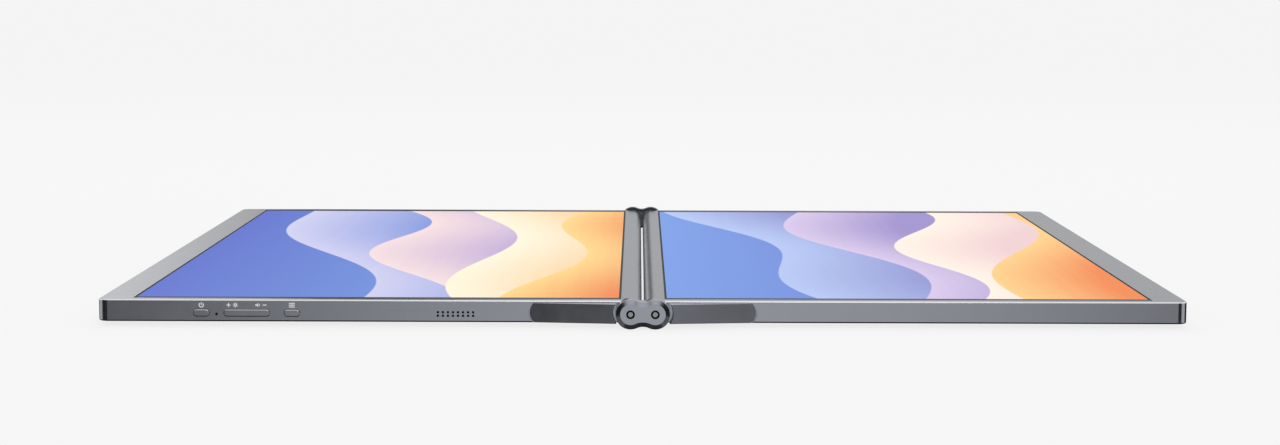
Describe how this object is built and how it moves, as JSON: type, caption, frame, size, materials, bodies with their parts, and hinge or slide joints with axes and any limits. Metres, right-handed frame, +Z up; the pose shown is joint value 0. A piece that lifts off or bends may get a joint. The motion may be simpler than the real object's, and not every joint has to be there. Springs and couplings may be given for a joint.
{
  "type": "dual portable monitor",
  "caption": "Portable dual monitor: flat screen panels joined along their long edges by double-pivot links, opened flat, with side keys, sound holes and cable sockets.",
  "frame": {"origin": "on the table, under the middle of the hinge, with the monitor opened flat and screens up", "axes": "X across the hinge to the right panel, Y along the hinge away from the keys, Z up"},
  "size_m": [0.4338, 0.3746, 0.012],
  "materials": {
    "frame_metal": "bead-blasted, anodised grey",
    "cover_metal": "bead-blasted, anodised grey",
    "fairing_metal": "satin grey",
    "link_metal": "satin grey",
    "steel": "plain steel",
    "black_steel": "blackened",
    "dull_steel": "dull dipped",
    "left_screen": "anti-glare display, lit",
    "right_screen": "anti-glare display, lit",
    "gasket": "matte black",
    "backlight": "white moulded tray",
    "board": "green solder mask",
    "chip": "black moulded",
    "socket_metal": "drawn shell",
    "foot_rubber": "matte black",
    "key": "satin grey",
    "light": "smoked rod",
    "cable": "black sheath",
    "moulding": "black moulded",
    "mesh": "black dust mesh"
  },
  "bodies": {
    "left_panel": {"left_lcd_cell": "left_screen", "left_frame": "frame_metal", "left_rear_cover": "cover_metal", "left_cover_screws": "steel", "left_feet": "foot_rubber", "left_screen_gasket": "gasket", "left_backlight": "backlight", "left_driver_board": "board", "left_bracket_screws": "steel", "left_shaft_near": "steel", "left_shaft_far": "steel", "left_spring_washers": "black_steel", "left_lock_nut": "black_steel", "left_shaft_clip": "steel", "left_hinge_cable": "cable", "left_bracket_near": "steel", "left_bracket_far": "steel", "left_fairing_near": "fairing_metal", "left_fairing_far": "fairing_metal", "speaker_near": "moulding", "speaker_far": "moulding", "speaker_meshes": "mesh", "rocker_pin": "steel", "button_holder": "moulding", "button_board": "board", "button_switches": "chip", "status_light": "light", "main_board": "board", "main_board_chips": "chip", "main_board_screws": "steel", "usb_c_sockets": "socket_metal", "mini_hdmi_socket": "socket_metal", "screen_ribbon": "cable"},
    "hinge_link": {"link_cap_near": "link_metal", "link_cap_far": "moulding", "link_plates": "dull_steel", "link_cable": "cable"},
    "right_panel": {"right_lcd_cell": "right_screen", "right_frame": "frame_metal", "right_rear_cover": "cover_metal", "right_cover_screws": "steel", "right_feet": "foot_rubber", "right_screen_gasket": "gasket", "right_backlight": "backlight", "right_driver_board": "board", "right_bracket_screws": "steel", "right_shaft_near": "steel", "right_shaft_far": "steel", "right_spring_washers": "black_steel", "right_lock_nut": "black_steel", "right_shaft_clip": "steel", "right_hinge_cable": "cable", "right_bracket_near": "steel", "right_bracket_far": "steel", "right_fairing_near": "fairing_metal", "right_fairing_far": "fairing_metal"},
    "power_button": {"power_button": "key"},
    "rocker_button": {"rocker_button": "key"},
    "menu_button": {"menu_button": "key"}
  },
  "joints": [
    {"name": "left_hinge", "type": "hinge", "parent": "left_panel", "child": "hinge_link", "pos_m": [-0.0049, 0, 0.006], "axis": [0, -1, 0], "range_deg": [-89.6, 90]},
    {"name": "right_hinge", "type": "hinge", "parent": "hinge_link", "child": "right_panel", "pos_m": [0.0049, 0, 0.006], "axis": [0, -1, 0], "range_deg": [-89.6, 90]},
    {"name": "power_press", "type": "slide", "parent": "left_panel", "child": "power_button", "axis": [0, 1, 0], "range_m": [0, 0.00035], "stiffness_N_per_m": 400, "springref_m": -0.0005},
    {"name": "menu_press", "type": "slide", "parent": "left_panel", "child": "menu_button", "axis": [0, 1, 0], "range_m": [0, 0.00035], "stiffness_N_per_m": 400, "springref_m": -0.0005},
    {"name": "rocker_tip", "type": "hinge", "parent": "left_panel", "child": "rocker_button", "pos_m": [-0.1575, -0.1771, 0.00535], "axis": [0, 0, 1], "range_deg": [-1.2, 1.2], "stiffness_Nm_per_rad": 0.02}
  ]
}
